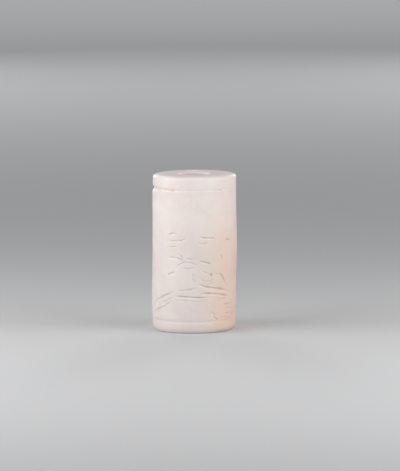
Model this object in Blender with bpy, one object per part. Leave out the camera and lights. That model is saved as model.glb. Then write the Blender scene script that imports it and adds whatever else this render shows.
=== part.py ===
"""A carved stone cylinder bead: one barrel of pale jade, bored end to end, with a ring groove at
each end and a shallow incised scene between them. Metres, +Z up, standing on its lower end."""

import math

import bmesh
import bpy
from mathutils import Vector

MM = 0.001

# Barrel
HEIGHT = 45.0 * MM
WAIST_RADIUS = 12.2 * MM
END_RADIUS = 11.92 * MM
BARREL_POWER = 3  # a higher power keeps the wall straighter until near the ends
LEAN = 0.0095  # sideways shift of the wall for each metre of height
WAVER = 0.095 * MM  # how far the hand-ground wall strays sideways
WAVER_LENGTH = 29.5 * MM
WAVER_PEAK = 24.7 * MM
SWELL = 0.045 * MM  # and how far it swells and shrinks
SWELL_LENGTH = 19.5 * MM
SWELL_PEAK = 5.8 * MM
UPPER_RIM_EASING = 0.8 * MM  # how far down the wall the worn rim runs
UPPER_RIM_SPREAD = 1.3 * MM  # and how far in over the end face
LOWER_RIM_HEIGHT = 2.4 * MM
LOWER_RIM_INSET = 1.0 * MM
LOWER_RIM_WEAR = 0.2 * MM  # extra inset on the right, less on the left

# Bore, drilled straight and opened like a trumpet at both ends
BORE_RADIUS = 3.0 * MM
MOUTH_RADIUS = 4.6 * MM
MOUTH_DEPTH = 2.2 * MM

# Ring grooves
UPPER_GROOVE_FROM_END = 3.8 * MM
UPPER_GROOVE_DEPTH = 0.5 * MM
UPPER_GROOVE_WIDTH = 2.2 * MM
UPPER_DEEP_SIDE = math.radians(-90)
UPPER_FADE_POWER = 8  # a higher power keeps the deep stretch shorter
LOWER_GROOVE_FROM_END = 3.4 * MM
LOWER_GROOVE_DEPTH = 0.16 * MM
LOWER_GROOVE_WIDTH = 1.4 * MM
LOWER_DEEP_SIDE = math.radians(-20)
LOWER_FADE_POWER = 2
GROOVE_SHALLOW_SHARE = 0.2  # depth that is left opposite the deep side
GROOVE_NARROW_SHARE = 0.25  # and width

# Incised strokes, in a field that runs from its foot to the upper groove
FIELD_FOOT = 3.55 * MM
STROKE_STEP = 1.8 * MM
STROKE_PROUD = 0.15 * MM  # how far a cutter stands out of the wall
STROKE_TAPER = 0.22  # share of a stroke's length that fades at each end
BROAD = (0.85 * MM, 0.30 * MM)  # width, depth
PLAIN = (0.70 * MM, 0.23 * MM)
FAINT = (0.55 * MM, 0.16 * MM)
DOT_RADIUS = 0.55 * MM
DOT_DEPTH = 0.40 * MM
DOT_SIDES = 8

# Facets
SIDES = 54
RIM_STEPS = 4
MOUTH_STEPS = 3
GROOVE_STEPS = 6
WALL_STEPS = 10

LOWER_GROOVE = LOWER_GROOVE_FROM_END
UPPER_GROOVE = HEIGHT - UPPER_GROOVE_FROM_END
GROOVES = (
    (LOWER_GROOVE, LOWER_GROOVE_DEPTH, LOWER_GROOVE_WIDTH, LOWER_DEEP_SIDE, LOWER_FADE_POWER),
    (UPPER_GROOVE, UPPER_GROOVE_DEPTH, UPPER_GROOVE_WIDTH, UPPER_DEEP_SIDE, UPPER_FADE_POWER),
)

# Each stroke runs through (degrees round from the front, percent of the way up the carved field).
FRONT_STROKES = {
    "bank_left_high": (PLAIN, [(-68, 12), (-53, 17), (-38, 20.4), (-26, 23.6)]),
    "bank_left_mid": (FAINT, [(-58, 11.7), (-43, 14.9), (-29, 18.6)]),
    "bank_left_low": (PLAIN, [(-68, 5.8), (-53, 9), (-45, 10.8), (-30, 16)]),
    "bank_crest": (FAINT, [(-24, 23.2), (-12, 24), (5, 25.6)]),
    "bank_middle": (PLAIN, [(-30, 19), (-18, 19.1), (-5, 18.5), (20, 18)]),
    "bank_right_high": (BROAD, [(3, 29), (12, 27.1), (24, 25.4), (38, 24.3), (55, 21.6)]),
    "bank_right_mid": (BROAD, [(5, 21.5), (22, 21.2), (38, 19.9), (56, 17.6)]),
    "bank_right_low": (FAINT, [(32, 17.2), (50, 16)]),
    "rock_back": (PLAIN, [(28, 36.2), (38, 35.4), (44, 32), (48, 28), (53, 24)]),
    "rock_brow": (BROAD, [(6, 46.2), (13, 45.3), (24, 43.6)]),
    "rock_mark": (FAINT, [(38, 51), (41, 46.5)]),
    "rock_lip": (FAINT, [(10, 38.2), (15, 37.4), (19, 36.4)]),
    "rock_curl": (FAINT, [(8, 33), (14, 30.6), (22, 30.8), (28, 33.4)]),
    "rock_face": (FAINT, [(-1, 37.5), (-1, 32), (3, 29.8)]),
    "arch": (FAINT, [(-28, 39), (-20, 43.5), (-13, 45.2), (-4, 44.8), (5, 43)]),
    "arch_inner": (FAINT, [(-17, 41), (-8, 40.2), (0, 41.6)]),
    "twig_low": (PLAIN, [(-40, 35), (-33, 36.5), (-27, 37.6)]),
    "twig_far": (FAINT, [(-53, 33), (-43, 34.2)]),
    "cloud_low": (PLAIN, [(-39, 48.2), (-27, 48.6), (-19, 47.6), (-12, 46)]),
    "cloud_low_tail": (FAINT, [(-14, 49.2), (-4, 47.8), (4, 48.8)]),
    "cloud_mid": (FAINT, [(-27, 52.6), (-19, 50.6), (-14, 47.8)]),
    "cloud_left_a": (FAINT, [(-38, 57.2), (-30, 56.6), (-24, 57.8)]),
    "cloud_left_b": (FAINT, [(-38, 61.2), (-27, 61.4), (-16, 62.2), (-10, 65)]),
    "cloud_left_c": (FAINT, [(-38, 65.6), (-31, 67.2), (-24, 66.2)]),
    "cloud_right_a": (PLAIN, [(6, 64.6), (16, 63.6), (30, 63.6)]),
    "cloud_right_b": (FAINT, [(4, 60.2), (10, 59.2), (18, 60.2)]),
    "cloud_right_c": (PLAIN, [(46, 62), (52, 61.4), (57, 60.4)]),
    "grass_leaf": (FAINT, [(20, 3.6), (22, 5.8), (26, 6.6), (27.5, 5), (25, 3)]),
    "grass_stem": (PLAIN, [(25.5, 2.8), (29, 2.2), (34, 0.4)]),
    "ripple_high": (FAINT, [(41, 12.8), (52, 12), (66, 12)]),
    "ripple_mid": (FAINT, [(44, 8.6), (54, 8.8), (66, 7.8)]),
    "ripple_low": (FAINT, [(42, 5.4), (54, 5), (68, 4)]),
    "ripple_foot": (FAINT, [(41, 1.8), (52, 1.8), (64, 0.8)]),
}
EYE = (23, 35.6)  # the one drilled dot

# The far side, plainer: rows of humped banks, and rocks, clouds and twigs in the same hand
BANK_FROM, BANK_TO = 64, 290  # degrees round
BANK_ROWS = {  # size, level, rise, degrees that one hump spans
    "bank_far_high": (PLAIN, 17.5, 5.0, 47),
    "bank_far_mid": (FAINT, 11.5, 3.4, 33),
    "bank_far_low": (PLAIN, 4.5, 3.6, 40),
}
BANK_OVERLAP = 0.12  # share of a hump that runs on under the next
BANK_DRIFT = 1.6  # percent by which humps in turn stand higher and lower

# Strokes of each motif, in motif sizes from the middle of its foot
MOTIFS = {
    "rock": {
        "back": (PLAIN, [(-1.3, 0), (-0.9, 0.7), (-0.3, 1.0), (0.1, 1.6), (0.7, 1.3), (1.3, 0.1)]),
        "face": (FAINT, [(-0.2, 1.0), (0.1, 0.6), (-0.2, 0.15)]),
        "fold": (FAINT, [(0.4, 1.1), (0.7, 0.7), (0.5, 0.3)]),
        "chip": (FAINT, [(-0.9, 0.35), (-0.55, 0.5)]),
    },
    "cloud": {
        "crown": (FAINT, [(-0.6, 1.1), (0.1, 1.25), (0.7, 1.0)]),
        "middle": (PLAIN, [(-1.3, 0.55), (-0.4, 0.7), (0.4, 0.5), (1.0, 0.65)]),
        "foot": (FAINT, [(-0.9, 0.05), (0.2, 0.15), (1.1, -0.05), (1.6, 0.25)]),
    },
    "twig": {
        "stem": (PLAIN, [(-1.0, 0.0), (0.1, 0.5), (1.0, 0.75)]),
        "shoot": (FAINT, [(0.1, 0.25), (0.6, -0.1), (1.1, 0.0)]),
    },
}
FAR_MOTIFS = {  # motif, degrees round, percent up, size in degrees
    "rock_side": ("rock", 100, 25, 11),
    "rock_far": ("rock", 214, 25, 13),
    "cloud_side": ("cloud", 94, 58, 10),
    "cloud_far": ("cloud", 170, 62, 13),
    "cloud_left": ("cloud", 246, 55, 11),
    "twig_side": ("twig", 136, 38, 8),
    "twig_left": ("twig", 266, 33, 7),
}


def wall_radius(angle, height):
    """Radius of the ground wall before anything is cut into it."""
    off_waist = abs(2 * height / HEIGHT - 1)
    barrel = WAIST_RADIUS - (WAIST_RADIUS - END_RADIUS) * off_waist**BARREL_POWER
    waver = WAVER * math.sin(2 * math.pi * (height - WAVER_PEAK) / WAVER_LENGTH + angle)
    swell = SWELL * math.cos(2 * math.pi * (height - SWELL_PEAK) / SWELL_LENGTH)
    return barrel + waver + swell


def groove_cut(angle, height):
    """Depth that the ring grooves take off the wall, shallower and narrower off their deep side."""
    cut = 0
    for centre, depth, width, deep_side, power in GROOVES:
        swing = ((1 + math.cos(angle - deep_side)) / 2) ** power
        share = GROOVE_SHALLOW_SHARE + (1 - GROOVE_SHALLOW_SHARE) * swing
        half = width / 2 * (GROOVE_NARROW_SHARE + (1 - GROOVE_NARROW_SHARE) * swing)
        off = min(1, abs(height - centre) / half)
        cut += depth * share * (1 + math.cos(math.pi * off)) / 2
    return cut


def point_at(angle, radius, height):
    """A point of the bead: angle 0 faces the viewer along -Y, and positive angles turn to +X."""
    shift = LEAN * (height - HEIGHT / 2)
    return Vector((radius * math.sin(angle) + shift, -radius * math.cos(angle), height))


def bore_point(angle, radius, height):
    """A point of the bore and the end faces' inner edge, which stay upright whatever the wall does."""
    return Vector((radius * math.sin(angle), -radius * math.cos(angle), height))


def bore_rows():
    """The trumpet mouths and the straight bore, from the lower face to the upper one."""
    rows = []
    for step in range(MOUTH_STEPS + 1):
        up = step / MOUTH_STEPS
        radius = BORE_RADIUS + (MOUTH_RADIUS - BORE_RADIUS) * (1 - up) ** 2
        rows.append((radius, up * MOUTH_DEPTH))
    return rows + [(radius, HEIGHT - height) for radius, height in reversed(rows)]


def wall_heights():
    """Heights of the wall's rows, close together across each groove."""
    ends = (LOWER_RIM_HEIGHT, HEIGHT - UPPER_RIM_EASING)
    heights = set(ends)
    for centre, _, width, _, _ in GROOVES:
        for step in range(GROOVE_STEPS + 1):
            heights.add(centre + width * (step / GROOVE_STEPS - 0.5))
    field_low = LOWER_GROOVE + LOWER_GROOVE_WIDTH / 2
    field_high = UPPER_GROOVE - UPPER_GROOVE_WIDTH / 2
    for step in range(1, WALL_STEPS):
        heights.add(field_low + (field_high - field_low) * step / WALL_STEPS)
    return sorted(height for height in heights if min(ends) <= height <= max(ends))


def outer_rows():
    """Functions of the angle that give the outer surface's rows, from the upper face to the lower."""

    def upper_rim(turn):
        def row(angle):
            height = HEIGHT - UPPER_RIM_EASING * (1 - math.sin(turn))
            inset = UPPER_RIM_SPREAD * (1 - math.cos(turn)) + groove_cut(angle, height)
            return point_at(angle, wall_radius(angle, height) - inset, height)

        return row

    def wall(height):
        def row(angle):
            return point_at(angle, wall_radius(angle, height) - groove_cut(angle, height), height)

        return row

    def lower_rim(turn):
        def row(angle):
            height = LOWER_RIM_HEIGHT * (1 - math.sin(turn))
            inset = (LOWER_RIM_INSET + LOWER_RIM_WEAR * math.sin(angle)) * (1 - math.cos(turn))
            inset += groove_cut(angle, height)
            return point_at(angle, wall_radius(angle, height) - inset, height)

        return row

    turns = [math.pi / 2 * step / RIM_STEPS for step in range(RIM_STEPS + 1)]
    rows = [upper_rim(turn) for turn in reversed(turns[1:])]
    rows += [wall(height) for height in reversed(wall_heights())]
    rows += [lower_rim(turn) for turn in turns[1:]]
    return rows


def blank_mesh():
    """The ground and drilled blank with its two ring grooves, as rings of points bridged in order."""
    angles = [2 * math.pi * side / SIDES for side in range(SIDES)]
    mesh = bmesh.new()
    rings = []
    for radius, height in bore_rows():
        rings.append([mesh.verts.new(bore_point(angle, radius, height)) for angle in angles])
    for row in outer_rows():
        rings.append([mesh.verts.new(row(angle)) for angle in angles])
    for ring, following in zip(rings, rings[1:] + rings[:1]):
        for side in range(SIDES):
            beside = (side + 1) % SIDES
            mesh.faces.new((ring[side], ring[beside], following[beside], following[side]))
    bmesh.ops.recalc_face_normals(mesh, faces=mesh.faces)
    data = bpy.data.meshes.new("bead")
    mesh.to_mesh(data)
    mesh.free()
    return data


def field_height(percent):
    return FIELD_FOOT + (UPPER_GROOVE - FIELD_FOOT) * percent / 100


def smooth_path(points):
    """The curve through a stroke's points as (angle, height) pairs, a step of STROKE_STEP apart."""
    known = [(math.radians(turn), field_height(percent)) for turn, percent in points]
    known = [known[0]] + known + [known[-1]]
    path = []
    for before, start, end, after in zip(known, known[1:], known[2:], known[3:]):
        length = math.hypot((end[0] - start[0]) * WAIST_RADIUS, end[1] - start[1])
        steps = max(2, math.ceil(length / STROKE_STEP))
        for step in range(steps):
            path.append(spline_point(before, start, end, after, step / steps))
    return path + [known[-1]]


def spline_point(before, start, end, after, share):
    """A point on the Catmull-Rom curve between start and end."""
    found = []
    for a, b, c, d in zip(before, start, end, after):
        cubic = -a + 3 * b - 3 * c + d
        square = 2 * a - 5 * b + 4 * c - d
        found.append((2 * b + (c - a) * share + square * share**2 + cubic * share**3) / 2)
    return tuple(found)


def cutter_object(name, mesh, collection):
    """A cutter that the bead's Boolean reads and no render shows."""
    bmesh.ops.recalc_face_normals(mesh, faces=mesh.faces)
    data = bpy.data.meshes.new(name)
    mesh.to_mesh(data)
    mesh.free()
    cutter = bpy.data.objects.new(name, data)
    cutter.hide_render = True
    cutter.display_type = "WIRE"
    collection.objects.link(cutter)


def stroke_cutter(name, path, size, collection):
    """A V-shaped wedge that follows the wall and fades out of it at both ends."""
    width, depth = size
    mesh = bmesh.new()
    last = len(path) - 1
    sections = []
    for place, (angle, height) in enumerate(path):
        outward = Vector((math.sin(angle), -math.cos(angle), 0))
        on_wall = point_at(angle, wall_radius(angle, height), height)
        share = place / last
        fade = min(1, share / STROKE_TAPER, (1 - share) / STROKE_TAPER)
        if place in (0, last):
            sections.append([mesh.verts.new(on_wall + outward * STROKE_PROUD)])
            continue
        before, after = path[place - 1], path[place + 1]
        along = point_at(after[0], WAIST_RADIUS, after[1])
        along -= point_at(before[0], WAIST_RADIUS, before[1])
        across = outward.cross(along).normalized()
        deep = depth * fade
        half = width / 2 * fade * (deep + STROKE_PROUD) / deep
        top = on_wall + outward * STROKE_PROUD
        corners = (top + across * half, on_wall - outward * deep, top - across * half)
        sections.append([mesh.verts.new(corner) for corner in corners])
    for section, following in zip(sections, sections[1:]):
        for side in range(3):
            beside = (side + 1) % 3
            corners = [section[side % len(section)], section[beside % len(section)]]
            corners += [following[beside % len(following)], following[side % len(following)]]
            mesh.faces.new(dict.fromkeys(corners))
    cutter_object(name, mesh, collection)


def dot_cutter(name, place, collection):
    """A drill's cone, for the one round dot."""
    angle, height = math.radians(place[0]), field_height(place[1])
    outward = Vector((math.sin(angle), -math.cos(angle), 0))
    sideways = Vector((math.cos(angle), math.sin(angle), 0))
    on_wall = point_at(angle, wall_radius(angle, height), height)
    spread = DOT_RADIUS * (DOT_DEPTH + STROKE_PROUD) / DOT_DEPTH
    mesh = bmesh.new()
    tip = mesh.verts.new(on_wall - outward * DOT_DEPTH)
    rim = []
    for side in range(DOT_SIDES):
        turn = 2 * math.pi * side / DOT_SIDES
        off = sideways * math.cos(turn) + Vector((0, 0, 1)) * math.sin(turn)
        rim.append(mesh.verts.new(on_wall + outward * STROKE_PROUD + off * spread))
    mesh.faces.new(rim)
    for side in range(DOT_SIDES):
        mesh.faces.new((rim[side], rim[(side + 1) % DOT_SIDES], tip))
    cutter_object(name, mesh, collection)


def bank_humps(level, rise, span):
    """A row of low humps round the far side, each running on a little under the next."""
    count = round((BANK_TO - BANK_FROM) / span)
    stride = (BANK_TO - BANK_FROM) / count
    humps = []
    for place in range(count):
        start = BANK_FROM + stride * place
        foot = level + BANK_DRIFT * math.sin(place * 2)
        humps.append(
            [
                (start, foot),
                (start + stride * 0.3, foot + rise * 0.75),
                (start + stride * 0.6, foot + rise),
                (start + stride * (1 + BANK_OVERLAP), foot - rise * 0.1),
            ]
        )
    return humps


def placed(shape, turn, percent, size):
    """A motif's stroke, set in its place round the bead."""
    flat = math.radians(size) * WAIST_RADIUS / (UPPER_GROOVE - FIELD_FOOT) * 100
    return [(turn + size * across, percent + flat * up) for across, up in shape]


def all_strokes():
    """Every stroke of the scene, by name."""
    strokes = dict(FRONT_STROKES)
    for name, (size, level, rise, span) in BANK_ROWS.items():
        for place, hump in enumerate(bank_humps(level, rise, span)):
            strokes[f"{name}_{place}"] = (size, hump)
    for name, (motif, turn, percent, size) in FAR_MOTIFS.items():
        for part, (cut, shape) in MOTIFS[motif].items():
            strokes[f"{name}_{part}"] = (cut, placed(shape, turn, percent, size))
    return strokes


def jade_material():
    material = bpy.data.materials.new("pale_jade")
    material.use_nodes = True
    shader = material.node_tree.nodes["Principled BSDF"]
    shader.inputs["Base Color"].default_value = (0.80, 0.74, 0.69, 1)
    shader.inputs["Roughness"].default_value = 0.32
    shader.inputs["Metallic"].default_value = 0
    return material


def clear_scene():
    for old in list(bpy.data.objects):
        bpy.data.objects.remove(old)


def main():
    clear_scene()
    cutters = bpy.data.collections.new("carving")
    bpy.context.scene.collection.children.link(cutters)
    for name, (size, points) in all_strokes().items():
        stroke_cutter(name, smooth_path(points), size, cutters)
    dot_cutter("eye", EYE, cutters)
    bead = bpy.data.objects.new("bead", blank_mesh())
    bpy.context.scene.collection.objects.link(bead)
    bead.data.materials.append(jade_material())
    bead.data.shade_smooth()
    bead.data.set_sharp_from_angle(angle=math.radians(30))
    carve = bead.modifiers.new("carve", "BOOLEAN")
    carve.operation = "DIFFERENCE"
    carve.operand_type = "COLLECTION"
    carve.collection = cutters
    carve.solver = "EXACT"
    carve.use_self = True


main()
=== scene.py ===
"""The looks of the carved stone cylinder bead: its finely carved surface, its jade, and a pale
studio with the camera where the photograph was taken. Metres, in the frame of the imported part."""

import math

import bpy
import numpy as np
from mathutils import Euler, Matrix, Vector


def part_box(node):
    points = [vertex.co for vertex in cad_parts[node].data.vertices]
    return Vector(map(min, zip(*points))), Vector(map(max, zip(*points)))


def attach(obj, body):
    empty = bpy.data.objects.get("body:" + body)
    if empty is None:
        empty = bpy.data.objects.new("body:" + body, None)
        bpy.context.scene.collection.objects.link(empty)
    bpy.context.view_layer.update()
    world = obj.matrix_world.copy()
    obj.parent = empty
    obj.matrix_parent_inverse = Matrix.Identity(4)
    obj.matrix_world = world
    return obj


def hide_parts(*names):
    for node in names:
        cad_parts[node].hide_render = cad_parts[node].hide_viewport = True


MM = 0.001
NODE = "bead"

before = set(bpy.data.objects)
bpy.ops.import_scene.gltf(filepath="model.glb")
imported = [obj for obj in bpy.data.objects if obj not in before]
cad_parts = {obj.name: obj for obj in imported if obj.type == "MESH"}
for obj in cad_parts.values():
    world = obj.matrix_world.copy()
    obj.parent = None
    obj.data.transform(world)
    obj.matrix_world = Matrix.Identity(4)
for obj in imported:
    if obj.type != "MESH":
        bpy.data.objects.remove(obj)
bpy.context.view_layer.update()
node_low, node_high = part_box(NODE)

# Barrel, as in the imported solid
HEIGHT = node_high.z - node_low.z
WAIST_RADIUS = 12.2 * MM
END_RADIUS = 11.92 * MM
BARREL_POWER = 3
LEAN = 0.0095
WAVER = 0.095 * MM
WAVER_LENGTH = 29.5 * MM
WAVER_PEAK = 24.7 * MM
SWELL = 0.045 * MM
SWELL_LENGTH = 19.5 * MM
SWELL_PEAK = 5.8 * MM
UPPER_RIM_EASING = 0.8 * MM
UPPER_RIM_SPREAD = 1.3 * MM  # how far in over the end face the worn rim's easing runs
LOWER_RIM_HEIGHT = 2.4 * MM
LOWER_RIM_INSET = 1.0 * MM
LOWER_RIM_WEAR = 0.2 * MM

# Bore
BORE_RADIUS = 3.0 * MM
MOUTH_RADIUS = 4.6 * MM
MOUTH_DEPTH = 2.2 * MM

# Ring grooves
LOWER_GROOVE = 3.4 * MM
UPPER_GROOVE = HEIGHT - 3.8 * MM
GROOVE_DEPTH = 0.5 * MM
GROOVES = (  # height, depth, width, deepest side, how quickly it fades off that side
    (LOWER_GROOVE, 0.16 * MM, 1.4 * MM, math.radians(-20), 2),
    (UPPER_GROOVE, GROOVE_DEPTH, 2.2 * MM, math.radians(-90), 8),
)
GROOVE_SHALLOW_SHARE = 0.2
GROOVE_NARROW_SHARE = 0.25

# Incised strokes, in the field from its foot to the upper groove
FIELD_FOOT = 3.55 * MM
STROKE_STEP = 0.5 * MM
STROKE_TAPER = 0.22
STROKE_END_DEPTH = 0.1  # of the full depth, at a stroke's tips
STROKE_END_SHARE = 0.4  # of the full width, to which it would narrow at no depth
STROKE_BOTTOM = 1.6  # 1 is a sharp bottom, and more is blunter
STROKE_SHOULDER = 1.4  # 1 is a crisp edge, and more is softer
BROAD = (0.85 * MM, 0.30 * MM)  # width, depth
PLAIN = (0.70 * MM, 0.23 * MM)
FAINT = (0.55 * MM, 0.16 * MM)
HAIR = (0.42 * MM, 0.10 * MM)
LOWER_FLANK = 1.3  # the flank below a stroke is this many times as wide as the one above

# Each stroke runs through (degrees round from the front, percent of the way up the carved field).
FRONT_STROKES = {
    "bank_left_high": (PLAIN, [(-68, 12), (-53, 17), (-38, 20.4), (-26, 23.6)]),
    "bank_left_mid": (FAINT, [(-58, 11.7), (-43, 14.9), (-29, 18.6)]),
    "bank_left_low": (PLAIN, [(-68, 5.8), (-53, 9), (-45, 10.8), (-30, 16)]),
    "bank_crest": (FAINT, [(-24, 23.2), (-12, 24), (5, 25.6)]),
    "bank_left_hair": (HAIR, [(-60, 9.6), (-47, 12.8), (-36, 15.6)]),
    "bank_middle": (PLAIN, [(-30, 19), (-18, 19.1), (-5, 18.5), (20, 18)]),
    "bank_middle_hair": (HAIR, [(-26, 16.2), (-10, 15.7), (6, 15.2), (17, 15.6)]),
    "bank_right_hair": (HAIR, [(12, 24.4), (26, 23.2), (42, 22.6)]),
    "bank_right_high": (BROAD, [(3, 29), (12, 27.1), (24, 25.4), (38, 24.3), (55, 21.6)]),
    "bank_right_mid": (BROAD, [(5, 21.5), (22, 21.2), (38, 19.9), (56, 17.6)]),
    "bank_right_low": (FAINT, [(32, 17.2), (50, 16)]),
    "rock_back": (PLAIN, [(28, 36.2), (38, 35.4), (44, 32), (48, 28), (53, 24)]),
    "rock_brow": (BROAD, [(6, 46.2), (13, 45.3), (24, 43.6)]),
    "rock_mark": (FAINT, [(38, 51), (41, 46.5)]),
    "rock_lip": (FAINT, [(10, 38.2), (15, 37.4), (19, 36.4)]),
    "rock_curl_hair": (HAIR, [(12, 28.6), (19, 28.2), (27, 29.6)]),
    "rock_curl": (FAINT, [(8, 33), (14, 30.6), (22, 30.8), (28, 33.4)]),
    "rock_face": (FAINT, [(-1, 37.5), (-1, 32), (3, 29.8)]),
    "arch": (FAINT, [(-28, 39), (-20, 43.5), (-13, 45.2), (-4, 44.8), (5, 43)]),
    "arch_inner": (FAINT, [(-17, 41), (-8, 40.2), (0, 41.6)]),
    "twig_low": (PLAIN, [(-40, 35), (-33, 36.5), (-27, 37.6)]),
    "twig_far": (FAINT, [(-53, 33), (-43, 34.2)]),
    "cloud_low": (PLAIN, [(-39, 48.2), (-27, 48.6), (-19, 47.6), (-12, 46)]),
    "cloud_low_tail": (FAINT, [(-14, 49.2), (-4, 47.8), (4, 48.8)]),
    "cloud_mid": (FAINT, [(-27, 52.6), (-19, 50.6), (-14, 47.8)]),
    "cloud_left_a": (FAINT, [(-38, 57.2), (-30, 56.6), (-24, 57.8)]),
    "cloud_left_hair": (HAIR, [(-38, 59.4), (-31, 59), (-24, 59.6)]),
    "cloud_left_b": (FAINT, [(-38, 61.2), (-27, 61.4), (-16, 62.2), (-10, 65)]),
    "cloud_left_c": (FAINT, [(-38, 65.6), (-31, 67.2), (-24, 66.2)]),
    "cloud_right_a": (PLAIN, [(6, 64.6), (16, 63.6), (30, 63.6)]),
    "cloud_right_b": (FAINT, [(4, 60.2), (10, 59.2), (18, 60.2)]),
    "cloud_right_c": (PLAIN, [(46, 62), (52, 61.4), (57, 60.4)]),
    "grass_leaf": (FAINT, [(21, 2.8), (20, 4.6), (22.5, 6.3), (26, 6.4), (27.5, 4.8), (25, 2.8), (22, 2.6)]),
    "grass_stem": (PLAIN, [(25.5, 2.8), (29, 2.2), (34, 0.4)]),
    "ripple_high": (FAINT, [(41, 12.8), (52, 12), (66, 12)]),
    "ripple_mid": (FAINT, [(44, 8.6), (54, 8.8), (66, 7.8)]),
    "ripple_low": (FAINT, [(42, 5.4), (54, 5), (68, 4)]),
    "ripple_foot": (FAINT, [(41, 1.8), (52, 1.8), (64, 0.8)]),
    "groove_slip_left": (PLAIN, [(-38, 100), (-33, 99.7), (-28, 100)]),
    "groove_slip_right": (FAINT, [(30, 100), (36, 99.6), (42, 100)]),
}
DOTS = {"rock_eye": (23, 35.6, 0.55 * MM, 0.40 * MM)}  # degrees round, percent up, radius, depth

BANK_FROM, BANK_TO = 64, 290
BANK_ROWS = {  # size, level, rise, degrees that one hump spans
    "bank_far_high": (PLAIN, 17.5, 5.0, 47),
    "bank_far_mid": (FAINT, 11.5, 3.4, 33),
    "bank_far_low": (PLAIN, 4.5, 3.6, 40),
}
BANK_OVERLAP = 0.12
BANK_DRIFT = 1.6
BANK_DRIFT_STEP = 2  # radians of the drift's wave, from one hump to the next
HUMP = ((0, 0), (0.3, 0.75), (0.6, 1), (1 + BANK_OVERLAP, -0.1))  # shares of its span and rise

# Strokes of each motif, in motif sizes from the middle of its foot
MOTIFS = {
    "rock": {
        "back": (PLAIN, [(-1.3, 0), (-0.9, 0.7), (-0.3, 1.0), (0.1, 1.6), (0.7, 1.3), (1.3, 0.1)]),
        "face": (FAINT, [(-0.2, 1.0), (0.1, 0.6), (-0.2, 0.15)]),
        "fold": (FAINT, [(0.4, 1.1), (0.7, 0.7), (0.5, 0.3)]),
        "chip": (FAINT, [(-0.9, 0.35), (-0.55, 0.5)]),
    },
    "cloud": {
        "crown": (FAINT, [(-0.6, 1.1), (0.1, 1.25), (0.7, 1.0)]),
        "middle": (PLAIN, [(-1.3, 0.55), (-0.4, 0.7), (0.4, 0.5), (1.0, 0.65)]),
        "foot": (FAINT, [(-0.9, 0.05), (0.2, 0.15), (1.1, -0.05), (1.6, 0.25)]),
    },
    "twig": {
        "stem": (PLAIN, [(-1.0, 0.0), (0.1, 0.5), (1.0, 0.75)]),
        "shoot": (FAINT, [(0.1, 0.25), (0.6, -0.1), (1.1, 0.0)]),
    },
}
FAR_MOTIFS = {  # motif, degrees round, percent up, size in degrees
    "rock_side": ("rock", 100, 25, 11),
    "rock_far": ("rock", 214, 25, 13),
    "cloud_side": ("cloud", 94, 58, 10),
    "cloud_far": ("cloud", 170, 62, 13),
    "cloud_left": ("cloud", 246, 55, 11),
    "twig_side": ("twig", 136, 38, 8),
    "twig_left": ("twig", 266, 33, 7),
}

# The dressed skin starts this far inside the solid's, so that it stays inside the solid's box
SKIN = 0.01 * MM

# Mesh: cells of the base grid, split into FINE by FINE cells where something fine is cut
COLUMNS = 180
FINE = 4
AROUND = 2 * math.pi * WAIST_RADIUS
CELL = AROUND / COLUMNS
REACH = CELL * 0.55  # a cell is split finely where its middle lies this near a stroke, dot or chip

# Hand work and wear
STRIKE = 0.3  # share by which one unit of noise changes a stroke's depth
STRIKE_CELL = 3.5 * MM
STRIKE_SEED = 3
FACET = 0.02 * MM  # flats that grinding left
FACET_CELL = 8 * MM
FACET_STRETCH = 3  # how much longer than wide the flats are
FACET_SEED = 11
FACET_OCTAVES = 2
DRILL_RIB = 0.03 * MM
DRILL_PITCH = 5 * MM
FACE_DISH = 0.05 * MM
NICKS = 34
NICK_SEED = 7
LOWER_NICKS = 0.7 * MM
UPPER_NICKS = HEIGHT - 0.15 * MM
NICK_EDGES = (LOWER_NICKS, LOWER_GROOVE, UPPER_GROOVE, UPPER_NICKS, UPPER_NICKS)  # the upper rim twice
NICK_STRAY = 0.3  # standard deviation off an edge, in millimetres
NICK_SIZES = (0.2, 0.55)  # half widths, in millimetres
NICK_DEPTHS = (0.12, 0.24)  # shares of a chip's size
NICK_FLATNESS = 1.5  # how much longer round the wall than up it

# Photograph
PHOTO = (400, 471)
BEAD_PIXEL = (194.4, 250.9)  # where the bead's middle shows
FOCAL_PIXELS = 3325
CAMERA_DISTANCE = 0.961
CAMERA_ELEVATION = math.radians(6.9)
CAMERA_ROLL = math.radians(0.35)
SENSOR = 36
CLIP = (0.02, 50)


def wall_radius(angle, height):
    """Radius of the ground wall before anything is cut into it."""
    off_waist = abs(2 * height / HEIGHT - 1)
    barrel = WAIST_RADIUS - (WAIST_RADIUS - END_RADIUS) * off_waist**BARREL_POWER
    waver = WAVER * np.sin(2 * math.pi * (height - WAVER_PEAK) / WAVER_LENGTH + angle)
    swell = SWELL * np.cos(2 * math.pi * (height - SWELL_PEAK) / SWELL_LENGTH)
    return barrel + waver + swell - SKIN


def groove_cut(angle, height):
    """Depth that the ring grooves take off the wall, shallower and narrower off their deep side."""
    cut = 0
    for centre, depth, width, side, fade in GROOVES:
        swing = ((1 + np.cos(angle - side)) / 2) ** fade
        share = GROOVE_SHALLOW_SHARE + (1 - GROOVE_SHALLOW_SHARE) * swing
        half = width / 2 * (GROOVE_NARROW_SHARE + (1 - GROOVE_NARROW_SHARE) * swing)
        off = np.minimum(1, abs(height - centre) / half)
        cut = cut + depth * share * (1 + np.cos(math.pi * off)) / 2
    return cut


def field_height(percent):
    return FIELD_FOOT + (UPPER_GROOVE - FIELD_FOOT) * percent / 100


def spline_point(before, start, end, after, share):
    """A point on the Catmull-Rom curve between start and end."""
    cubic = -before + 3 * start - 3 * end + after
    square = 2 * before - 5 * start + 4 * end - after
    return (2 * start + (end - before) * share + square * share**2 + cubic * share**3) / 2


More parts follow.
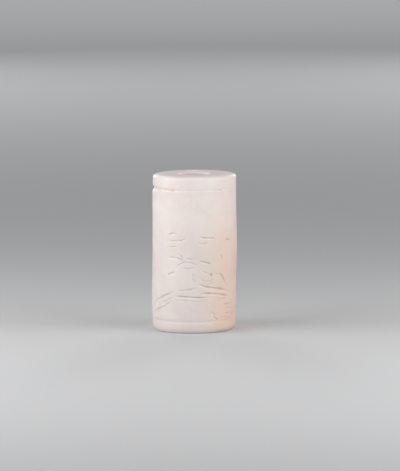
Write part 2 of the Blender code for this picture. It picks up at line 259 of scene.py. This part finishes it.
def smooth_path(points):
    """The curve through a stroke's points, as metres round the waist and height."""
    known = [np.array((math.radians(turn) * WAIST_RADIUS, field_height(up))) for turn, up in points]
    known = [known[0]] + known + [known[-1]]
    path = []
    for before, start, end, after in zip(known, known[1:], known[2:], known[3:]):
        steps = max(2, math.ceil(np.linalg.norm(end - start) / STROKE_STEP))
        path += [spline_point(before, start, end, after, step / steps) for step in range(steps)]
    return np.array(path + [known[-1]])


def bank_humps(level, rise, span):
    """A row of low humps round the far side, each running on a little under the next."""
    count = round((BANK_TO - BANK_FROM) / span)
    stride = (BANK_TO - BANK_FROM) / count
    humps = []
    for place in range(count):
        start = BANK_FROM + stride * place
        foot = level + BANK_DRIFT * math.sin(place * BANK_DRIFT_STEP)
        humps.append([(start + stride * across, foot + rise * up) for across, up in HUMP])
    return humps


def placed(shape, turn, percent, size):
    """A motif's stroke, set in its place round the bead."""
    flat = math.radians(size) * WAIST_RADIUS / (UPPER_GROOVE - FIELD_FOOT) * 100
    return [(turn + size * across, percent + flat * up) for across, up in shape]


def all_strokes():
    """Every stroke of the scene, as (size, path)."""
    strokes = list(FRONT_STROKES.values())
    for size, level, rise, span in BANK_ROWS.values():
        strokes += [(size, hump) for hump in bank_humps(level, rise, span)]
    for motif, turn, percent, size in FAR_MOTIFS.values():
        for cut, shape in MOTIFS[motif].values():
            strokes.append((cut, placed(shape, turn, percent, size)))
    return [(size, smooth_path(points)) for size, points in strokes]


def smooth_noise(angle, height, cell, seed, stretch=1, octaves=3, waves=9):
    """Smooth noise over the wall that joins up all the way round, mostly from -1 to 1."""
    rng = np.random.default_rng(seed)
    total = np.zeros(np.broadcast(angle, height).shape)
    weight = 0
    for octave in range(octaves):
        size = cell / 2**octave
        for _ in range(waves):
            way = rng.uniform(0, 2 * math.pi)
            turns = round(WAIST_RADIUS * 2 * math.pi / size * math.cos(way))
            rise = 2 * math.pi / size / stretch * math.sin(way)
            total += np.sin(turns * angle + rise * height + rng.uniform(0, 2 * math.pi)) / 2**octave
        weight += waves / 4**octave
    return total / math.sqrt(weight * 2)


def round_distance(flat, centre):
    """Signed distance round the wall, the short way."""
    return (flat - centre + AROUND / 2) % AROUND - AROUND / 2


def stroke_cut(flat, height, spread):
    """Depth of the incised strokes and the dot, and whether each point is within spread of one."""
    cut = np.zeros(flat.shape)
    close = np.zeros(flat.shape, bool)
    for (width, depth), path in all_strokes():
        middle = (path[:, 0].min() + path[:, 0].max()) / 2
        across = round_distance(flat, middle) + middle
        margin = width * LOWER_FLANK / 2 + spread
        low, high = path.min(axis=0) - margin, path.max(axis=0) + margin
        near = (across > low[0]) & (across < high[0]) & (height > low[1]) & (height < high[1])
        here = np.stack([across[near], height[near]], axis=1)
        steps = np.linalg.norm(np.diff(path, axis=0), axis=1)
        length = np.concatenate([[0], np.cumsum(steps)])
        best = np.full(len(here), np.inf)
        share = np.zeros(len(here))
        side = np.zeros(len(here))
        for start, end, run, gone in zip(path, path[1:], steps, length):
            way = (end - start) / run
            off = here - start
            along = np.clip(off @ way, 0, run)
            gap = off - along[:, None] * way
            distance = np.linalg.norm(gap, axis=1)
            closer = distance < best
            best[closer] = distance[closer]
            share[closer] = (gone + along[closer]) / length[-1]
            side[closer] = gap[closer, 1]
        fade = np.clip(np.minimum(share, 1 - share) / STROKE_TAPER, STROKE_END_DEPTH, 1)
        half = width / 2 * (STROKE_END_SHARE + (1 - STROKE_END_SHARE) * fade)
        half = half * np.where(side < 0, LOWER_FLANK, 1)
        off = np.minimum(best / half, 1)
        profile = (1 - off**STROKE_BOTTOM) ** STROKE_SHOULDER
        cut[near] = np.maximum(cut[near], depth * fade * profile)
        close[near] |= best < half + spread
    cut *= 1 + STRIKE * smooth_noise(flat / WAIST_RADIUS, height, STRIKE_CELL, STRIKE_SEED)
    for turn, percent, radius, depth in DOTS.values():
        across = round_distance(flat, math.radians(turn) * WAIST_RADIUS)
        distance = np.hypot(across, height - field_height(percent))
        cut = np.maximum(cut, depth * np.maximum(0, 1 - (distance / radius) ** 2))
        close |= distance < radius + spread
    return cut, close


def nick_places():
    """Small chips along the rims and the grooves: how far round, how high, half width and depth."""
    rng = np.random.default_rng(NICK_SEED)
    nicks = []
    for _ in range(NICKS):
        level = rng.choice(NICK_EDGES) + rng.normal(0, NICK_STRAY) * MM
        size = rng.uniform(*NICK_SIZES) * MM
        nicks.append((rng.uniform(0, AROUND), level, size, size * rng.uniform(*NICK_DEPTHS)))
    return nicks


def nick_cut(flat, height, spread):
    """Depth that the chips take off, and whether each point is within spread of one."""
    cut = np.zeros(flat.shape)
    close = np.zeros(flat.shape, bool)
    for place, level, size, depth in nick_places():
        distance = np.hypot(round_distance(flat, place), NICK_FLATNESS * (height - level))
        cut = np.maximum(cut, depth * np.maximum(0, 1 - (distance / size) ** 2))
        close |= distance < size + spread
    return cut, close


def lower_mouth(angle, share):
    radius = BORE_RADIUS + (MOUTH_RADIUS - BORE_RADIUS) * (1 - share) ** 2
    return radius, share * MOUTH_DEPTH, 0


def shaft(angle, share):
    height = MOUTH_DEPTH + (HEIGHT - 2 * MOUTH_DEPTH) * share
    rib = np.sin(2 * math.pi * height / DRILL_PITCH + angle) * np.sin(math.pi * share)
    return BORE_RADIUS - DRILL_RIB * rib, height, 0


def upper_mouth(angle, share):
    radius, height, _ = lower_mouth(angle, 1 - share)
    return radius, HEIGHT - height, 0


def upper_face(angle, share):
    outer = wall_radius(angle, HEIGHT) - UPPER_RIM_SPREAD
    dish = FACE_DISH * np.sin(math.pi * share) ** 2
    return MOUTH_RADIUS + (outer - MOUTH_RADIUS) * share, HEIGHT - dish, share


def upper_rim(angle, share):
    turn = math.pi / 2 * (1 - share)
    height = HEIGHT - UPPER_RIM_EASING * (1 - np.sin(turn))
    inset = UPPER_RIM_SPREAD * (1 - np.cos(turn))
    cut = nick_cut(angle * WAIST_RADIUS, height, 0)[0] + groove_cut(angle, height)
    return wall_radius(angle, height) - inset - cut, height, 1


def wall(angle, share):
    height = HEIGHT - UPPER_RIM_EASING - (HEIGHT - UPPER_RIM_EASING - LOWER_RIM_HEIGHT) * share
    flat = angle * WAIST_RADIUS
    cut = stroke_cut(flat, height, 0)[0] + nick_cut(flat, height, 0)[0] + groove_cut(angle, height)
    noise = smooth_noise(angle, height, FACET_CELL, FACET_SEED, FACET_STRETCH, FACET_OCTAVES)
    facets = FACET * (1 + noise)
    return wall_radius(angle, height) - cut - facets * np.sin(math.pi * share) ** 0.5, height, 1


def lower_rim(angle, share):
    turn = math.pi / 2 * share
    height = LOWER_RIM_HEIGHT * (1 - np.sin(turn))
    inset = (LOWER_RIM_INSET + LOWER_RIM_WEAR * np.sin(angle)) * (1 - np.cos(turn))
    cut = nick_cut(angle * WAIST_RADIUS, height, 0)[0] * np.cos(turn) + groove_cut(angle, height)
    return wall_radius(angle, height) - inset - cut, height, 1


def lower_face(angle, share):
    outer = wall_radius(angle, 0) - LOWER_RIM_INSET - LOWER_RIM_WEAR * np.sin(angle)
    return outer + (MOUTH_RADIUS - outer) * share, 0 * share, 1 - share


# The bead's section, walked once round: each stretch and its number of base cells
WALL_ROWS = round((HEIGHT - UPPER_RIM_EASING - LOWER_RIM_HEIGHT) / CELL)
SECTION = (
    (lower_mouth, 7),
    (shaft, 36),
    (upper_mouth, 8),
    (upper_face, 8),
    (upper_rim, 8),
    (wall, WALL_ROWS),
    (lower_rim, 9),
    (lower_face, 6),
)
ROWS = sum(rows for _, rows in SECTION)
WALL_START = sum(rows for _, rows in SECTION[:5])


def surface_points(angle, row):
    """Points of the bead's skin, from the angle and how far round the section."""
    points = np.zeros((len(angle), 3))
    start = 0
    for stretch, rows in SECTION:
        here = (row >= start) & (row < start + rows)
        radius, height, lean = stretch(angle[here], (row[here] - start) / rows)
        shift = LEAN * (height - HEIGHT / 2) * lean
        points[here, 0] = radius * np.sin(angle[here]) + shift
        points[here, 1] = -radius * np.cos(angle[here])
        points[here, 2] = height
        start += rows
    return points


def cell_levels():
    """How finely each base cell is split: 0 not at all, 1 in halves, 2 into FINE by FINE."""
    column, row = np.meshgrid(np.arange(COLUMNS) + 0.5, np.arange(ROWS) + 0.5, indexing="ij")
    flat = column / COLUMNS * AROUND
    height = np.full(flat.shape, -1.0)
    start = 0
    for stretch, rows in SECTION:
        here = (row >= start) & (row < start + rows)
        if stretch in (upper_rim, wall, lower_rim):
            angle = flat[here] / WAIST_RADIUS
            height[here] = stretch(angle, (row[here] - start) / rows)[1]
        start += rows
    level = np.zeros(flat.shape, int)
    carved = stroke_cut(flat, height, REACH)[1] | nick_cut(flat, height, REACH)[1]
    in_groove = np.zeros(flat.shape, bool)
    for centre, _, width, _, _ in GROOVES:
        in_groove |= abs(height - centre) < width / 2
    level[in_groove] = 1
    level[carved & (height >= 0)] = 2
    fine = level == 2
    for axis in (0, 1):
        for step in (-1, 1):
            level[np.roll(fine, step, axis=axis) & (level == 0)] = 1
    return level


def split_cells(level):
    """Corners of every face on the fine lattice, with the neighbours' extra points taken in."""
    used = np.zeros((COLUMNS * FINE, ROWS * FINE), bool)
    size = used.shape
    squares = []
    for step, chosen in ((FINE, level == 0), (FINE // 2, level == 1), (1, level == 2)):
        columns, rows = np.nonzero(chosen)
        for i in range(0, FINE, step):
            for j in range(0, FINE, step):
                low_i, low_j = columns * FINE + i, rows * FINE + j
                squares.append(np.stack([low_i, low_j, np.full(len(low_i), step)], axis=1))
                for a in (0, step):
                    for b in (0, step):
                        used[(low_i + a) % size[0], (low_j + b) % size[1]] = True
    return used, np.concatenate(squares)


def faces_of(used, squares):
    """Quads where a square has only its corners, and fans where a finer neighbour adds a point."""
    size = used.shape
    index = np.cumsum(used.ravel()).reshape(size) - 1
    i, j, step = squares.T
    half = step // 2
    ring = [(i, j), (i, j + step), (i + step, j + step), (i + step, j)]
    middles = [(i, j + half), (i + half, j + step), (i + step, j + half), (i + half, j)]
    corners = np.stack([index[a % size[0], b % size[1]] for a, b in ring], axis=1)
    extra = np.stack([used[a % size[0], b % size[1]] & (half > 0) for a, b in middles], axis=1)
    between = np.stack([index[a % size[0], b % size[1]] for a, b in middles], axis=1)
    plain = ~extra.any(axis=1)
    faces = corners[plain].tolist()
    for corner, has, middle in zip(corners[~plain], extra[~plain], between[~plain]):
        loop = []
        for side in range(4):
            loop.append(corner[side])
            if has[side]:
                loop.append(middle[side])
        first = loop.index(middle[has.argmax()])
        loop = loop[first:] + loop[:first]
        faces += [(loop[0], loop[k], loop[k + 1]) for k in range(1, len(loop) - 1)]
    return faces


def bead_object():
    used, squares = split_cells(cell_levels())
    column, row = np.nonzero(used)
    angle = column / (COLUMNS * FINE) * 2 * math.pi
    points = surface_points(angle, row / FINE)
    mesh = bpy.data.meshes.new("carved_bead")
    mesh.from_pydata(points.tolist(), [], faces_of(used, squares))
    mesh.shade_smooth()
    flat = angle * WAIST_RADIUS
    on_wall = (row / FINE >= WALL_START) & (row / FINE < WALL_START + WALL_ROWS)
    cut = np.where(on_wall, stroke_cut(flat, points[:, 2], 0)[0], 0) / PLAIN[1]
    groove = np.where(on_wall, groove_cut(angle, points[:, 2]), 0) / GROOVE_DEPTH
    for name, values in (("cut", cut), ("groove", groove)):
        attribute = mesh.attributes.new(name, "FLOAT", "POINT")
        attribute.data.foreach_set("value", np.clip(values, 0, 1).astype(np.float32))
    mesh.update()
    bead = bpy.data.objects.new("carved_bead", mesh)
    bpy.context.scene.collection.objects.link(bead)
    return bead


class Nodes:
    """Short ways to add and join shader nodes in one material."""

    def __init__(self, name):
        self.material = bpy.data.materials.new(name)
        self.material.use_nodes = True
        self.tree = self.material.node_tree
        self.shader = self.tree.nodes["Principled BSDF"]

    def add(self, kind, **settings):
        node = self.tree.nodes.new(kind)
        for name, value in settings.items():
            setattr(node, name, value)
        return node

    def put(self, socket, value):
        """Joins a socket to another node's output, or sets its value."""
        if isinstance(value, bpy.types.NodeSocket):
            self.tree.links.new(value, socket)
        elif isinstance(value, tuple) and socket.type == "RGBA":
            socket.default_value = (*value, 1)
        else:
            socket.default_value = value

    def noise(self, place, scale, detail=3.0, roughness=0.5, distortion=0.0):
        node = self.add("ShaderNodeTexNoise")
        self.put(node.inputs["Vector"], place)
        self.put(node.inputs["Scale"], scale)
        self.put(node.inputs["Detail"], detail)
        self.put(node.inputs["Roughness"], roughness)
        self.put(node.inputs["Distortion"], distortion)
        return node.outputs["Fac"]

    def stretched(self, place, scale, shift=(0.0, 0.0, 0.0)):
        node = self.add("ShaderNodeMapping")
        self.put(node.inputs["Vector"], place)
        self.put(node.inputs["Location"], shift)
        self.put(node.inputs["Scale"], scale)
        return node.outputs["Vector"]

    def length(self, vector):
        node = self.add("ShaderNodeVectorMath", operation="LENGTH")
        self.put(node.inputs[0], vector)
        return node.outputs["Value"]

    def spread(self, value, low, high, to_low=0.0, to_high=1.0):
        node = self.add("ShaderNodeMapRange", interpolation_type="SMOOTHSTEP")
        self.put(node.inputs["Value"], value)
        self.put(node.inputs["From Min"], low)
        self.put(node.inputs["From Max"], high)
        self.put(node.inputs["To Min"], to_low)
        self.put(node.inputs["To Max"], to_high)
        return node.outputs["Result"]

    def patches(self, place, kind):
        """Noise of one kind, spread between two of its values."""
        noise, values = kind
        return self.spread(self.noise(place, *noise), *values)

    def maths(self, operation, first, second):
        node = self.add("ShaderNodeMath", operation=operation)
        self.put(node.inputs[0], first)
        self.put(node.inputs[1], second)
        return node.outputs["Value"]

    def times(self, first, second):
        return self.maths("MULTIPLY", first, second)

    def mix(self, share, first, second):
        node = self.add("ShaderNodeMix", data_type="RGBA")
        self.put(node.inputs["Factor"], share)
        first_socket, second_socket = [s for s in node.inputs if s.type == "RGBA"]
        self.put(first_socket, first)
        self.put(second_socket, second)
        return next(s for s in node.outputs if s.type == "RGBA")

    def attribute(self, name):
        return self.add("ShaderNodeAttribute", attribute_name=name).outputs["Fac"]

    def bump(self, height, distance, strength, normal=None):
        node = self.add("ShaderNodeBump")
        self.put(node.inputs["Height"], height)
        self.put(node.inputs["Distance"], distance)
        self.put(node.inputs["Strength"], strength)
        if normal:
            self.put(node.inputs["Normal"], normal)
        return node.outputs["Normal"]


CREAM = (0.89, 0.795, 0.75)
MILK = (0.93, 0.855, 0.82)
LILAC = (0.84, 0.745, 0.765)
PEACH = (0.86, 0.62, 0.49)
RUSSET = (0.55, 0.29, 0.14)
CELADON = (0.80, 0.78, 0.66)
# darker warm tint in the strokes and grooves: partly dirt, partly painted shade in the hollows
GRIME_AND_SHADE = (0.46, 0.36, 0.31)
# painted shade: the bead darker and greyer towards its foot, where less light falls
FOOT_SHADE = (0.74, 0.66, 0.645)
# painted shade: the grey of the end faces, which catch less light than the wall
END_FACE_SHADE = (0.77, 0.712, 0.738)
# painted highlight: a pale patch on the end faces behind the mouth, where the back rim catches light
PAINTED_HIGHLIGHT = (0.97, 0.905, 0.925)
# painted shade: the dark inside of the bore and its mouths
BORE_SHADE = (0.40, 0.33, 0.36)

# A colour comes in from the first value to the second, with its share at each, or else 0 and 1
LILAC_ACROSS = (6 * MM, -10 * MM, 0.15, 0.6)
# where the painted shade towards the foot comes in
FOOT_SHADE_UP = (40 * MM, 0.0, 0.0, 0.42)
CELADON_ACROSS = (-3 * MM, 5 * MM)
CELADON_UP = (34 * MM, 24 * MM, 0.0, 0.5)
PEACH_ACROSS = (-1 * MM, 12.6 * MM)
PEACH_UP = (45 * MM, 14 * MM, 0.15, 1.0)
# where the painted shade of the bore comes in, from the mouth's radius to the bore's
BORE_SHADE_INWARD = (MOUTH_RADIUS, BORE_RADIUS)
FLECK_SHARE = 0.22

# Patches of noise (scale, detail, roughness, distortion), and where they come in, in the same way
MILKY = ((110, 4, 0.55, 0.6), (0.36, 0.66))
CLOUDY = ((75, 3, 0.5, 0.8), (0.44, 0.7))
FLECKED = ((520, 4, 0.6), (0.52, 0.7))
# patchiness of the dirt and painted shade in the strokes and grooves
DIRT_AND_SHADE_PATCHES = ((300, 3, 0.6), (0.36, 0.64, 0.08, 0.42))
ROUGH = ((700, 3, 0.6), (0.3, 0.7, 0.32, 0.44))
PATCH_NOISE = (120, 4, 0.6, 0.5)  # celadon comes in where it is low, and peach most where it is high
CELADON_PATCHES = (0.62, 0.4)
PEACH_PATCHES = (0.34, 0.62, 0.6, 1.0)

# The end faces: how level the surface is, the ring of painted shade, and the painted highlight behind the
# mouth
LEVEL = (0.88, 1.0)
# the ring of painted shade on the end faces, from its outer radius inward
END_SHADE_RING = (11 * MM, 7 * MM, 0.1, 0.95)
# the painted highlight's patch: its stretch, place and reach
HIGHLIGHT_STRETCH = (0.9, 0.75, 0.0)
HIGHLIGHT_SHIFT = (0.0, -6.4 * MM, 0.0)  # after the stretch
HIGHLIGHT_REACH = (7 * MM, 3.6 * MM, 0.0, 0.95)
RAGGED_NOISE = (260, 4, 0.6)
RAGGED = 6 * MM

# The russet vein lies in one slanting, wavy sheet through the far side
VEIN_SLOPE = 0.3
VEIN_NOISE = (75, 2, 0.4)
VEIN_WANDER = 9 * MM
VEIN_OFFSET = 20.5 * MM
VEIN_UP = (9 * MM, 13 * MM)
VEIN_BROKEN = ((210, 2), (0.4, 0.6))
VEIN_LINE = (0.14 * MM, 0.0)
VEIN_LINE_SHARE = 0.4
VEIN_HALO = (2.2 * MM, 0.0)
VEIN_HALO_SHARE = 0.22

# Dirt with painted shade in the strokes and grooves, polish and glow of the stone
GROOVE_DIRT_AND_SHADE = 0.5  # dirt and painted shade in a groove, against that in a stroke
CUT_ROUGHNESS = 0.25  # added in the strokes
SCRATCH_STRETCH = (60.0, 60.0, 5000.0)
SCRATCH_NOISE = (1.0, 3, 0.6)
SCRATCH_BUMP = (0.01 * MM, 0.25)  # distance, strength
GRAIN_NOISE = (900, 4, 0.6)
GRAIN_BUMP = (0.03 * MM, 0.25)
GLOW = 0.6
GLOW_RADIUS = (1.0, 0.8, 0.62)
GLOW_SCALE = 2.0 * MM
JADE_IOR = 1.61


def stone_colour(n, place, across, up, patch):
    """Cream stone with milky and lilac clouds, darker and greyer towards its foot as painted shade, with
    celadon low on its right.
    """
    colour = n.mix(n.patches(place, MILKY), CREAM, MILK)
    lilac = n.times(n.patches(place, CLOUDY), n.spread(across, *LILAC_ACROSS))
    colour = n.mix(lilac, colour, LILAC)
    # painted shade, darker towards the foot
    colour = n.mix(n.spread(up, *FOOT_SHADE_UP), colour, FOOT_SHADE)
    colour = n.mix(n.times(n.patches(place, FLECKED), FLECK_SHARE), colour, MILK)
    celadon = n.times(n.spread(across, *CELADON_ACROSS), n.spread(patch, *CELADON_PATCHES))
    return n.mix(n.times(celadon, n.spread(up, *CELADON_UP)), colour, CELADON)


def end_face_colour(n, place, colour):
    """Painted shade as a grey ring round both mouths, a ragged painted highlight behind them, and painted
    shade darkening the bore.
    """
    facing = n.add("ShaderNodeSeparateXYZ")
    n.put(facing.inputs["Vector"], n.add("ShaderNodeTexCoord").outputs["Normal"])
    level = n.spread(n.maths("ABSOLUTE", facing.outputs["Z"], 0.0), *LEVEL)
    off_axis = n.length(n.stretched(place, (1.0, 1.0, 0.0)))
    # painted shade: the end faces greyed where they face up or down
    colour = n.mix(n.times(level, n.spread(off_axis, *END_SHADE_RING)), colour, END_FACE_SHADE)
    # painted highlight: a ragged pale patch behind the mouth on the end faces
    ragged = n.times(n.noise(place, *RAGGED_NOISE), RAGGED)
    off_patch = n.length(n.stretched(place, HIGHLIGHT_STRETCH, HIGHLIGHT_SHIFT))
    highlight = n.spread(n.maths("ADD", off_patch, ragged), *HIGHLIGHT_REACH)
    colour = n.mix(n.times(highlight, level), colour, PAINTED_HIGHLIGHT)
    # painted shade darkening the mouths and the bore
    return n.mix(n.spread(off_axis, *BORE_SHADE_INWARD), colour, BORE_SHADE)


def vein_colour(n, place, depth, up, colour):
    """A thin broken russet line with a faint halo, which fades out towards the foot."""
    slope = n.maths("ADD", depth, n.times(up, VEIN_SLOPE))
    wander = n.times(n.noise(place, *VEIN_NOISE), VEIN_WANDER)
    off_vein = n.maths("ABSOLUTE", n.maths("SUBTRACT", n.maths("ADD", slope, wander), VEIN_OFFSET), 0.0)
    risen = n.spread(up, *VEIN_UP)
    halo = n.times(n.spread(off_vein, *VEIN_HALO), n.times(risen, VEIN_HALO_SHARE))
    broken = n.times(n.patches(place, VEIN_BROKEN), risen)
    line = n.times(n.spread(off_vein, *VEIN_LINE), n.times(broken, VEIN_LINE_SHARE))
    return n.mix(line, n.mix(halo, colour, PEACH), RUSSET)


def jade_colour(n, place):
    """The stone's colour with painted shade and a painted highlight, its peach right side, and how far to
    the right each point is.
    """
    axes = n.add("ShaderNodeSeparateXYZ")
    n.put(axes.inputs["Vector"], place)
    across, depth, up = axes.outputs["X"], axes.outputs["Y"], axes.outputs["Z"]
    patch = n.noise(place, *PATCH_NOISE)
    colour = stone_colour(n, place, across, up, patch)
    colour = end_face_colour(n, place, colour)
    right = n.spread(across, *PEACH_ACROSS)
    peach = n.times(right, n.spread(patch, *PEACH_PATCHES))
    colour = n.mix(n.times(peach, n.spread(up, *PEACH_UP)), colour, PEACH)
    return vein_colour(n, place, depth, up, colour), right


def jade_material():
    n = Nodes("pale_jade")
    place = n.add("ShaderNodeTexCoord").outputs["Object"]
    colour, right = jade_colour(n, place)
    cut, groove = n.attribute("cut"), n.attribute("groove")
    # strokes and grooves darkened: partly dirt, partly painted shade in the hollows
    dirt_and_shade = n.times(n.maths("MAXIMUM", cut, n.times(groove, GROOVE_DIRT_AND_SHADE)), n.patches(place, DIRT_AND_SHADE_PATCHES))
    n.put(n.shader.inputs["Base Color"], n.mix(dirt_and_shade, colour, n.mix(right, GRIME_AND_SHADE, RUSSET)))
    rough = n.maths("ADD", n.patches(place, ROUGH), n.times(cut, CUT_ROUGHNESS))
    n.put(n.shader.inputs["Roughness"], rough)
    scratches = n.noise(n.stretched(place, SCRATCH_STRETCH), *SCRATCH_NOISE)
    normal = n.bump(scratches, *SCRATCH_BUMP)
    normal = n.bump(n.noise(place, *GRAIN_NOISE), *GRAIN_BUMP, normal)
    n.put(n.shader.inputs["Normal"], normal)
    n.put(n.shader.inputs["Subsurface Weight"], GLOW)
    n.put(n.shader.inputs["Subsurface Radius"], GLOW_RADIUS)
    n.put(n.shader.inputs["Subsurface Scale"], GLOW_SCALE)
    n.put(n.shader.inputs["IOR"], JADE_IOR)
    return n.material


FLOOR = (0.62, 0.62, 0.625)
FLOOR_ROUGHNESS = 0.75
FLOOR_HALF = 6.0  # half the floor's side


def floor_material():
    n = Nodes("floor")
    n.put(n.shader.inputs["Base Color"], FLOOR)
    n.put(n.shader.inputs["Roughness"], FLOOR_ROUGHNESS)
    return n.material


def make_floor():
    mesh = bpy.data.meshes.new("floor")
    corners = [(FLOOR_HALF * x, FLOOR_HALF * y, 0) for x, y in ((-1, -1), (1, -1), (1, 1), (-1, 1))]
    mesh.from_pydata(corners, [], [(0, 1, 2, 3)])
    mesh.materials.append(floor_material())
    floor = bpy.data.objects.new("floor", mesh)
    bpy.context.scene.collection.objects.link(floor)


MIDDLE = (0, 0, HEIGHT / 2)
LIGHTS = (  # name, place, what it faces, size, watts
    ("key", (-0.2, -0.085, 0.135), MIDDLE, (0.24, 0.16), 0.43),
    ("fill", (0.195, -0.105, 0.135), MIDDLE, (0.24, 0.16), 0.38),
    ("front", (-0.03, -0.4, 0.16), MIDDLE, (0.3, 0.16), 0.15),
    ("rim_left", (-0.42, 1.08, 0.42), MIDDLE, (0.3, 0.7), 1.75),
    ("rim_right", (0.42, 1.08, 0.42), MIDDLE, (0.3, 0.7), 1.75),
    ("backdrop", (0, 2.3, 0.7), (0, 2.3, 0), (3.6, 2.0), 13.0),
)
STUDIO_COLOUR = (0.95, 0.97, 1.0)
STUDIO_STRENGTH = 0.18


def soft_light(name, place, target, size, power):
    """A softbox that faces its target."""
    data = bpy.data.lights.new(name, "AREA")
    data.shape = "RECTANGLE"
    data.size, data.size_y = size
    data.energy = power
    light = bpy.data.objects.new(name, data)
    light.location = place
    aim = Vector(target) - Vector(place)
    light.rotation_euler = aim.to_track_quat("-Z", "Y").to_euler()
    light.visible_camera = False
    bpy.context.scene.collection.objects.link(light)


def make_lights():
    for light in LIGHTS:
        soft_light(*light)
    world = bpy.data.worlds.new("studio")
    world.use_nodes = True
    background = world.node_tree.nodes["Background"]
    background.inputs["Color"].default_value = (*STUDIO_COLOUR, 1)
    background.inputs["Strength"].default_value = STUDIO_STRENGTH
    bpy.context.scene.world = world


def make_camera():
    data = bpy.data.cameras.new("camera")
    data.sensor_fit = "AUTO"
    data.sensor_width = SENSOR
    data.lens = FOCAL_PIXELS * SENSOR / max(PHOTO)
    data.clip_start, data.clip_end = CLIP
    camera = bpy.data.objects.new("camera", data)
    bpy.context.scene.collection.objects.link(camera)
    back = Vector((0, -math.cos(CAMERA_ELEVATION), math.sin(CAMERA_ELEVATION)))
    camera.location = Vector(MIDDLE) + back * CAMERA_DISTANCE
    facing = (-back).to_track_quat("-Z", "Y").to_matrix()
    aside = math.atan((BEAD_PIXEL[0] - PHOTO[0] / 2) / FOCAL_PIXELS)
    down = math.atan((BEAD_PIXEL[1] - PHOTO[1] / 2) / FOCAL_PIXELS)
    aim = Euler((down, aside, 0)).to_matrix()
    roll = Matrix.Rotation(-CAMERA_ROLL, 3, "Z")
    camera.rotation_euler = (facing @ roll @ aim).to_euler()
    bpy.context.scene.camera = camera


make_camera()
make_lights()
make_floor()
bead = bead_object()
bead.data.materials.append(jade_material())
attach(bead, "root")
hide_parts(NODE)
bpy.context.scene.view_settings.view_transform = "Standard"
